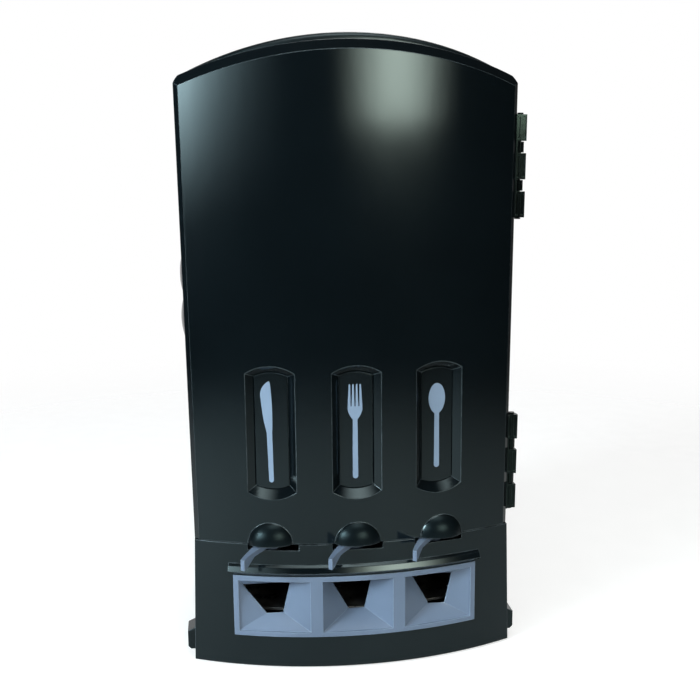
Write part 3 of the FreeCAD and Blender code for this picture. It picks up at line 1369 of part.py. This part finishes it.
fill_sheet()
front_door()
symbols()
finished_housing()
base_housing()
base_plate()
chute_bezel()
feed_plate()
feed_plate_posts()
drive_deck()
for column_name, (column_x, column_y, column_turn) in COLUMNS.items():
    window_plate(column_name, column_turn)
    magazine(column_name, column_x)
    lever(column_name, column_x, column_y)
    lever_pin(column_name, column_x, column_y)
    lever_spring(column_name, column_x, column_y)
    slide(column_name, column_x, column_y)
    slide_guide(column_name, column_x)
cross_rail("lower_cross_rail", "lower_cross_z")
cross_rail("upper_cross_rail", "upper_cross_z")
for level_name, level_low in HINGES:
    door_leaf(level_name, level_low)
    body_leaf(level_name, level_low)
    hinge_pin(level_name, level_low)
hinge_screws("door")
hinge_screws("body")
lock()
latch()
strike_bracket()
side_bumper(-1)
side_bumper(1)
rubber_mat()
rail_screws()
base_screws()
check_and_write()
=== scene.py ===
"""Looks of the three-column cutlery dispenser: materials, studio, lamps and camera.

Every CAD node is dressed by its slot in the record, except that the back housing has a
satin shell. No piece is added to the object.
Metres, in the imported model's frame: +Z up, the front faces -Y, +X on the right.
"""
import json
import math

import bmesh
import bpy
from mathutils import Matrix, Vector

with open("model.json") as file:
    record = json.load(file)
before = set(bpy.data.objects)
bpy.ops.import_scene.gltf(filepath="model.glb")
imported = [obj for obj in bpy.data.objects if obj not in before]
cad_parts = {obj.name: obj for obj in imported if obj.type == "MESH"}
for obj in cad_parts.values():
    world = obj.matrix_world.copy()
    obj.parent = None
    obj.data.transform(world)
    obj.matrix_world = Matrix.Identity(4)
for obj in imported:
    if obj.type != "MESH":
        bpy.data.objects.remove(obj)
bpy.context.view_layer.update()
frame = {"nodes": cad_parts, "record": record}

MM = 0.001
WHITE = (1.0, 1.0, 1.0, 1.0)


# Node graphs

class Graph:
    """Shader nodes of one material, lamp or world, added and linked by short calls."""

    def __init__(self, tree):
        self.tree = tree
        tree.nodes.clear()

    def put(self, node, sockets):
        """Give a node's sockets their values, each a constant or another node's output."""
        for key, value in sockets.items():
            if isinstance(value, bpy.types.NodeSocket):
                self.tree.links.new(value, node.inputs[key])
            else:
                node.inputs[key].default_value = value

    def add(self, kind, sockets=None, **settings):
        """New node with its settings and socket values."""
        node = self.tree.nodes.new("ShaderNode" + kind)
        for name, setting in settings.items():
            setattr(node, name, setting)
        self.put(node, sockets or {})
        return node

    def math(self, operation, first, second=0.0, clamp=False):
        """Result of a sum or comparison."""
        node = self.add("Math", {0: first, 1: second}, operation=operation, use_clamp=clamp)
        return node.outputs[0]

    def product(self, first, second):
        """Two numbers multiplied."""
        return self.math("MULTIPLY", first, second)

    def fade(self, value, start, end, low=0.0, high=1.0):
        """Value moved smoothly from one range to another."""
        node = self.add("MapRange", {"Value": value, "From Min": start, "From Max": end,
                                     "To Min": low, "To Max": high},
                        interpolation_type="SMOOTHSTEP")
        return node.outputs["Result"]

    def blend(self, share, first, second):
        """Mix of two colours. A Mix node's colours are its sockets 6 and 7, the mix output 2."""
        node = self.add("Mix", data_type="RGBA")
        self.put(node, {0: share, 6: first, 7: second})
        return node.outputs[2]

    def length(self, vector):
        """Length of a vector."""
        return self.add("VectorMath", {0: vector}, operation="LENGTH").outputs["Value"]

    def parts(self, vector):
        """A vector's X, Y and Z outputs."""
        return self.add("SeparateXYZ", {0: vector}).outputs

    def noise(self, place, scale, detail=3.0, roughness=0.5):
        """Noise in cycles per metre."""
        node = self.add("TexNoise", {"Vector": place, "Scale": scale, "Detail": detail,
                                     "Roughness": roughness})
        return node.outputs["Fac"]

    def stretched(self, place, stretch):
        """Coordinates squeezed along some axes, so that a pattern runs along them."""
        return self.add("Mapping", {"Vector": place, "Scale": stretch}).outputs["Vector"]

    def bump(self, strength, depth, height, normal):
        """Normal tilted by the slope of a height."""
        node = self.add("Bump", {"Strength": strength, "Distance": depth, "Height": height,
                                 "Normal": normal})
        return node.outputs["Normal"]


def rgb(colour, factor=1.0):
    """Colour with full opacity, lightened or darkened."""
    return (*(min(1.0, channel * factor) for channel in colour), 1.0)


# Materials

BOW_AXIS_Y = 0.269                  # middle of the bowed front's arc, at x = 0
BOW_RADIUS = 0.393
HOOD_FOOT = 0.125                   # the hoods are above this height, the brow below it
HOOD_PROUD = (0.8 * MM, 1.6 * MM)   # how far off the bow the hoods' finish starts and is full
CLOUD_SPREAD = (0.3, 0.7)           # the noise values that make up the clouds' full range
SPECK_SPREAD = (0.25, 0.6)
SPECK_FINENESS = 9                  # how many times finer specks are than clouds
EDGE_TURN = (0.992, 0.93)           # cosine of the rounding's turn where the edge wear and painted highlight start and are full
PLAIN_WEAR_AND_HIGHLIGHT = 2.2                    # how much lighter an edge with no edge colour gets: partly wear, partly a painted highlight
WORN_ROUGHNESS = 0.25
DUST_COLOUR = (0.30, 0.29, 0.27, 1.0)
DUST_SLOPE = (0.55, 0.98)           # upward part of the normal where dust starts and is full
DUST_PATCHES = (0.3, 0.75, 0.25, 1.0)
DUST_ROUGHNESS = 0.9
SCRATCH_SCALE = 700
SCRATCH_SPREAD = (0.66, 0.75)
UPRIGHT_LINES = (1.0, 1.0, 0.02)
WAVE_SCALE = 38
UPRIGHT_WAVES = (1.0, 1.0, 0.35)


def hood_zone(graph, place):
    """One on the lever hoods, which stand proud of the bowed front, and zero elsewhere."""
    spot = graph.parts(place)
    from_axis = graph.math("SUBTRACT", spot["Y"], BOW_AXIS_Y)
    flat = graph.add("CombineXYZ", {0: spot["X"], 1: from_axis}).outputs["Vector"]
    start, full = (BOW_RADIUS + proud for proud in HOOD_PROUD)
    off_bow = graph.fade(graph.length(flat), start, full)
    return graph.product(off_bow, graph.math("GREATER_THAN", spot["Z"], HOOD_FOOT))


def surface(name, colour, roughness, *, metallic=0.0, ior=1.46, sheen=WHITE,
            cloud=0.12, cloud_scale=14, rough_cloud=0.04,
            grain_scale=1500, grain=0.05, grain_depth=0.05 * MM, stretch=None,
            edge=0.5 * MM, wear_and_highlight=0.25, wear_and_highlight_colour=None,
            scratches=0.0, dust=0.0, waves=0.0, hoods=0.0, hood_sheen=WHITE):
    """Plastic or metal with rounded edges, clouded gloss, surface grain, and edges lightened
    both as wear and as a painted highlight.

    cloud and rough_cloud are how far the colour and the roughness drift, stretch runs the
    grain along an axis, edge is the rounding's radius, waves are shallow swellings, and
    hoods is the roughness that the lever hoods have on top.
    """
    material = bpy.data.materials.new(name)
    material.use_nodes = True
    graph = Graph(material.node_tree)
    place = graph.add("TexCoord").outputs["Object"]
    true_normal = graph.add("NewGeometry").outputs["Normal"]
    rounded = graph.add("Bevel", {"Radius": edge}, samples=6).outputs["Normal"]
    turn = graph.add("VectorMath", {0: rounded, 1: true_normal}, operation="DOT_PRODUCT")
    clouds = graph.noise(place, cloud_scale)
    specks = graph.noise(place, cloud_scale * SPECK_FINENESS, 6.0, 0.7)
    # Mask of the rounded edges, broken up by specks, where wear and a painted highlight lighten
    # the colour.
    corner = graph.product(graph.fade(turn.outputs["Value"], *EDGE_TURN),
                           graph.fade(specks, *SPECK_SPREAD))
    worn_and_highlit = graph.product(corner, wear_and_highlight)
    tint = graph.blend(graph.fade(clouds, *CLOUD_SPREAD), rgb(colour, 1 - cloud),
                       rgb(colour, 1 + cloud))
    # Edges take a lighter colour: partly wear, partly a painted highlight along the rims.
    tint = graph.blend(worn_and_highlit, tint, rgb(wear_and_highlight_colour) if wear_and_highlight_colour else rgb(colour, PLAIN_WEAR_AND_HIGHLIGHT))
    rough = graph.fade(clouds, *CLOUD_SPREAD, roughness - rough_cloud, roughness + rough_cloud)
    rough = graph.math("ADD", rough, graph.product(worn_and_highlit, WORN_ROUGHNESS))
    if hoods:
        zone = hood_zone(graph, place)
        rough = graph.math("ADD", rough, graph.product(zone, hoods))
        sheen = graph.blend(zone, sheen, hood_sheen)
    if dust:
        level = graph.fade(graph.parts(true_normal)["Z"], *DUST_SLOPE)
        lying = graph.product(graph.product(level, graph.fade(specks, *DUST_PATCHES)), dust)
        tint = graph.blend(lying, tint, DUST_COLOUR)
        rough = graph.math("ADD", rough, graph.product(lying, DUST_ROUGHNESS), clamp=True)
    if scratches:
        lines = graph.noise(graph.stretched(place, UPRIGHT_LINES), SCRATCH_SCALE, 1.0)
        fine = graph.product(graph.fade(lines, *SCRATCH_SPREAD), scratches)
        rough = graph.math("ADD", rough, fine, clamp=True)
    grained = graph.stretched(place, stretch) if stretch else place
    normal = graph.bump(grain, grain_depth, graph.noise(grained, grain_scale, 2.0), rounded)
    if waves:
        swell = graph.noise(graph.stretched(place, UPRIGHT_WAVES), WAVE_SCALE, 2.0)
        normal = graph.bump(1.0, waves, swell, normal)
    shader = graph.add("BsdfPrincipled", {"Base Color": tint, "Roughness": rough,
                                          "Metallic": metallic, "IOR": ior, "Normal": normal,
                                          "Specular Tint": sheen})
    graph.add("OutputMaterial", {"Surface": shader.outputs["BSDF"]})
    return material


SHELL = (0.0024, 0.0042, 0.0054)
SHEEN = (0.78, 0.97, 1.0, 1.0)
MATERIALS = {
    "black_shell": surface(
        "shell", SHELL, 0.12, sheen=SHEEN, cloud_scale=7, rough_cloud=0.01,
        grain_scale=420, grain=0.35, grain_depth=0.012 * MM,
        # The edges' light colour is partly a painted highlight along the rims, partly wear.
        edge=1.1 * MM, wear_and_highlight=0.5, wear_and_highlight_colour=(0.19, 0.235, 0.26),
        scratches=0.03, dust=0.012, waves=0.08 * MM,
        hoods=0.2, hood_sheen=(0.22, 0.32, 0.34, 1.0)),
    "black_insert": surface(
        "insert", (0.0034, 0.0054, 0.0066), 0.17, sheen=SHEEN, rough_cloud=0.02,
        grain_scale=1100, grain=0.25, edge=0.4 * MM, wear_and_highlight=0.12),
    "symbol_film": surface(
        "film", (0.198, 0.268, 0.375), 0.42, cloud=0.04,
        grain_scale=2600, grain=0.12, edge=0.15 * MM, wear_and_highlight=0.1),
    "grey_plastic": surface(
        "grey", (0.126, 0.17, 0.248), 0.34, cloud=0.08, rough_cloud=0.05,
        # The edges' light blue-grey colour paints highlights along the mouths and creases, as
        # well as wear.
        grain_scale=2100, grain=0.3, edge=0.6 * MM, wear_and_highlight=0.75, wear_and_highlight_colour=(0.34, 0.44, 0.56),
        dust=0.03),
    "magazine_plastic": surface(
        "magazine", (0.03, 0.031, 0.033), 0.46,
        grain_scale=900, grain=0.3, stretch=(1.0, 1.0, 0.05), edge=0.3 * MM, wear_and_highlight=0.3),
    "dark_steel": surface(
        "painted_steel", (0.0026, 0.0038, 0.0042), 0.13, sheen=(0.3, 0.46, 0.4, 1.0),
        rough_cloud=0.03, grain_scale=1900, grain=0.2,
        # The edges' lighter colour paints light lines along the hinge knuckles, as well as wear.
        edge=0.35 * MM, wear_and_highlight=0.6, wear_and_highlight_colour=(0.10, 0.125, 0.135)),
    "zinc_steel": surface(
        "zinc", (0.50, 0.51, 0.52), 0.34, metallic=1.0, cloud_scale=60, rough_cloud=0.08,
        grain_scale=1300, grain=0.3, stretch=(0.05, 1.0, 1.0), edge=0.3 * MM, wear_and_highlight=0.4),
    "slide_plastic": surface(
        "slide", (0.62, 0.61, 0.57), 0.4, cloud=0.04,
        grain_scale=1700, grain=0.2, edge=0.4 * MM, wear_and_highlight=0.2, wear_and_highlight_colour=(0.45, 0.44, 0.41)),
    "bright_steel": surface(
        "bright_steel", (0.60, 0.61, 0.62), 0.2, metallic=1.0, cloud_scale=40,
        grain_scale=1900, grain=0.2, stretch=(1.0, 1.0, 0.1), edge=0.2 * MM, wear_and_highlight=0.3),
    "lock_plastic": surface(
        "lock", (0.004, 0.0055, 0.0062), 0.2, rough_cloud=0.03,
        grain_scale=900, grain=0.3, edge=0.4 * MM, wear_and_highlight=0.2),
    "mat_rubber": surface(
        "rubber", (0.02, 0.02, 0.021), 0.62, ior=1.52, cloud=0.2,
        grain_scale=700, grain=0.8, grain_depth=0.2 * MM, stretch=(1.0, 0.04, 1.0),
        edge=0.6 * MM, wear_and_highlight=0.4),
}
# The photo shows the roof rim satin, while the door and the base are glossy.
SATIN_HOUSING = surface(
    "shell_satin", SHELL, 0.3, sheen=SHEEN, cloud_scale=9, rough_cloud=0.03,
    grain_scale=900, grain=0.3, edge=0.6 * MM, wear_and_highlight=0.15, dust=0.02)


def dress(thing, material):
    """Give a mesh one material."""
    thing.data.materials.clear()
    thing.data.materials.append(material)


for subpart in frame["record"]["subparts"]:
    dress(frame["nodes"][subpart["node"]], MATERIALS[subpart["material_slot"]])
dress(frame["nodes"]["back_housing"], SATIN_HOUSING)


# Studio

FLOOR_RADIUS = 1.7
FLOOR_FADE = 0.5                    # radius where the floor starts to thin out
FLOOR_CORNERS = 96
FLOOR_MOTTLE = 25
FLOOR_PALE = (0.52, 0.55)
FLOOR_LIFT = 0.62                   # glow for the camera's rays only, so it lights nothing
WORLD_BEHIND = (0.6, 0.95)          # backward part of a direction where white starts and is full
WORLD_DIM = 0.012                   # what mirror rays see on the lamps' side
WORLD_FILL = 0.14                   # soft light from all sides


def studio_floor():
    """Pale floor that thins out into the white of the surroundings."""
    mesh = bpy.data.meshes.new("studio_floor")
    shape = bmesh.new()
    bmesh.ops.create_circle(shape, cap_ends=True, radius=FLOOR_RADIUS, segments=FLOOR_CORNERS)
    shape.to_mesh(mesh)
    shape.free()
    floor = bpy.data.objects.new("studio_floor", mesh)
    bpy.context.scene.collection.objects.link(floor)
    material = bpy.data.materials.new("floor")
    material.use_nodes = True
    graph = Graph(material.node_tree)
    place = graph.add("TexCoord").outputs["Object"]
    fading = graph.fade(graph.length(place), FLOOR_FADE, FLOOR_RADIUS)
    mottle = graph.fade(graph.noise(place, FLOOR_MOTTLE), *CLOUD_SPREAD, *FLOOR_PALE)
    seen = graph.product(graph.add("LightPath").outputs["Is Camera Ray"], FLOOR_LIFT)
    pale = graph.add("CombineColor", {0: mottle, 1: mottle, 2: mottle}).outputs[0]
    matt = graph.add("BsdfPrincipled", {"Base Color": pale, "Roughness": 0.7,
                                        "Emission Color": WHITE, "Emission Strength": seen})
    clear = graph.add("BsdfTransparent")
    mixed = graph.add("MixShader", {0: fading, 1: matt.outputs["BSDF"],
                                    2: clear.outputs["BSDF"]})
    graph.add("OutputMaterial", {"Surface": mixed.outputs["Shader"]})
    mesh.materials.append(material)


def studio_world():
    """White surroundings behind the object, dim ones on the lamps' side for reflections."""
    world = bpy.data.worlds.new("studio")
    bpy.context.scene.world = world
    world.use_nodes = True
    graph = Graph(world.node_tree)
    way = graph.parts(graph.add("TexCoord").outputs["Generated"])
    behind = graph.fade(way["Y"], *WORLD_BEHIND, WORLD_DIM, 1.0)
    rays = graph.add("LightPath").outputs
    mirrored = graph.math("MAXIMUM", rays["Is Glossy Ray"], rays["Is Transmission Ray"])
    fill = graph.product(graph.math("SUBTRACT", 1.0, mirrored), WORLD_FILL)
    seen = graph.math("ADD", fill, graph.product(mirrored, behind))
    strength = graph.math("MAXIMUM", seen, rays["Is Camera Ray"])
    glow = graph.add("Background", {"Color": WHITE, "Strength": strength})
    graph.add("OutputWorld", {"Surface": glow.outputs["Background"]})


# Lamps

SLOPE_START = 0.3                   # share of the width where a sloping lamp's glow is 1
SLOPE_SIDES = ((0.08, 0.2), (1.0, 0.7))     # shares of the width where its sides fade in


def centred_glow(graph, across, peak):
    """Brightness across a lamp that is dimmer towards both sides, more so for a high peak."""
    return graph.math("POWER", graph.math("SINE", graph.product(across, math.pi)), peak)


def sloping_glow(graph, across, slope):
    """Brightness across a lamp that falls off exponentially along its width."""
    along = graph.math("SUBTRACT", SLOPE_START, across)
    falling = graph.math("EXPONENT", graph.product(along, slope))
    near, far = (graph.fade(across, *side) for side in SLOPE_SIDES)
    return graph.product(falling, graph.product(near, far))


def softbox(name, position, aim, size, power, colour, *, peak=2.0, slope=0.0):
    """Rectangular lamp aimed at a point, dimmer towards its sides.

    A sloping lamp is also dimmer towards its foot.
    """
    lamp = bpy.data.lights.new(name, "AREA")
    lamp.shape = "RECTANGLE"
    lamp.size, lamp.size_y = size
    lamp.energy = power
    lamp.color = colour
    lamp.use_nodes = True
    graph = Graph(lamp.node_tree)
    spot = graph.parts(graph.add("NewGeometry").outputs["Parametric"])
    if slope:
        glow = graph.product(sloping_glow(graph, spot["X"], slope),
                             graph.fade(spot["Y"], 0.0, 1.0))
    else:
        glow = centred_glow(graph, spot["X"], peak)
    light = graph.add("Emission", {"Strength": glow})
    graph.add("OutputLight", {"Surface": light.outputs["Emission"]})
    holder = bpy.data.objects.new(name, lamp)
    holder.location = position
    holder.rotation_euler = (Vector(aim) - Vector(position)).to_track_quat("-Z", "Y").to_euler()
    holder.visible_camera = False
    bpy.context.scene.collection.objects.link(holder)


# Camera

CAMERA_PLACE = (-0.1192, -1.0557, 0.4965)
CAMERA_ANGLES = (10.33, -6.92, -0.52)       # degrees: down, to the left, and of roll
SENSOR_MM = 36.0
LENS_MM = 51.55
CLIPPING = (0.05, 50.0)


def camera():
    """Camera at the photograph's place and angle."""
    pitch, yaw, roll = (math.radians(angle) for angle in CAMERA_ANGLES)
    forward = Vector((-math.sin(yaw) * math.cos(pitch), math.cos(yaw) * math.cos(pitch),
                      -math.sin(pitch)))
    level = Vector((math.cos(yaw), math.sin(yaw), 0.0))
    upright = level.cross(forward)
    right = level * math.cos(roll) + upright * math.sin(roll)
    up = upright * math.cos(roll) - level * math.sin(roll)
    lens = bpy.data.cameras.new("camera")
    lens.sensor_width = SENSOR_MM
    lens.lens = LENS_MM
    lens.clip_start, lens.clip_end = CLIPPING
    holder = bpy.data.objects.new("camera", lens)
    turn = Matrix((right, up, -forward)).transposed().to_4x4()
    holder.matrix_world = Matrix.Translation(Vector(CAMERA_PLACE)) @ turn
    bpy.context.scene.collection.objects.link(holder)
    bpy.context.scene.camera = holder


studio_floor()
studio_world()
softbox("lamp_left", position=(-1.335, -1.928, 0.80), aim=(0.505, -0.978, 0.70),
        size=(3.0, 0.94), power=285, colour=(0.80, 0.94, 1.0), slope=8.9)
softbox("lamp_right", position=(0.94, -2.44, 1.02), aim=(0.0, 0.0, 0.85),
        size=(2.5, 0.75), power=72, colour=(1.0, 1.0, 0.87), peak=4.0)
softbox("lamp_top", position=(0.1, -0.75, 2.0), aim=(0.05, -0.35, 0.0),
        size=(2.3, 0.95), power=30, colour=(0.95, 1.0, 1.0))
softbox("lamp_back", position=(0.35, 1.5, 2.2), aim=(0.0, 0.0, 0.4),
        size=(1.4, 0.9), power=20, colour=(1.0, 1.0, 1.0))
camera()
bpy.context.scene.view_settings.view_transform = "Standard"
